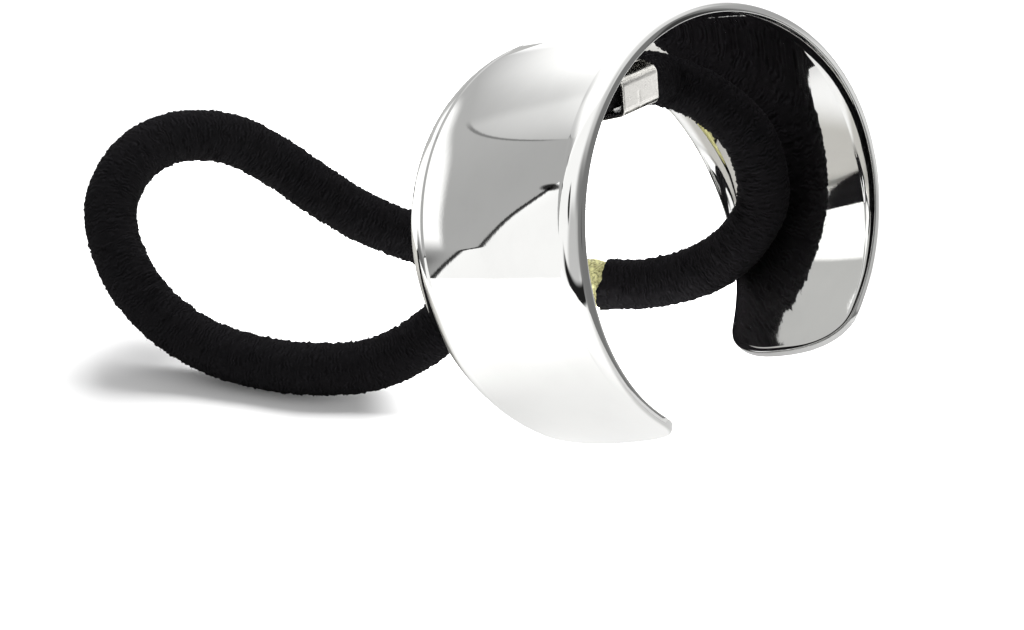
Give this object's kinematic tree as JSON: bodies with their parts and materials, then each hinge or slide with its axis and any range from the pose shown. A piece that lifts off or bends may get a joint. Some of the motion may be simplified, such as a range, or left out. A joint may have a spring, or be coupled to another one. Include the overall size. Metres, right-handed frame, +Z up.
{
  "type": "hair tie with a metal cuff",
  "caption": "Open polished metal cuff that stands on its ends and leans on a loop of covered elastic, which a small strap under the crown holds.",
  "frame": {"origin": "on the surface that the cuff stands on, below the middle of the cuff's box", "axes": "+X across the cuff's arc from one end towards the other, -Y towards the edge that faces the viewer, away from the loose elastic, +Z up"},
  "size_m": [0.0634, 0.0753, 0.0473],
  "materials": {
    "cuff": "mirror polished",
    "elastic": "knitted, matt",
    "joint": "rough"
  },
  "bodies": {
    "root": {"cuff": "cuff", "elastic": "elastic", "joint": "joint"}
  },
  "joints": []
}
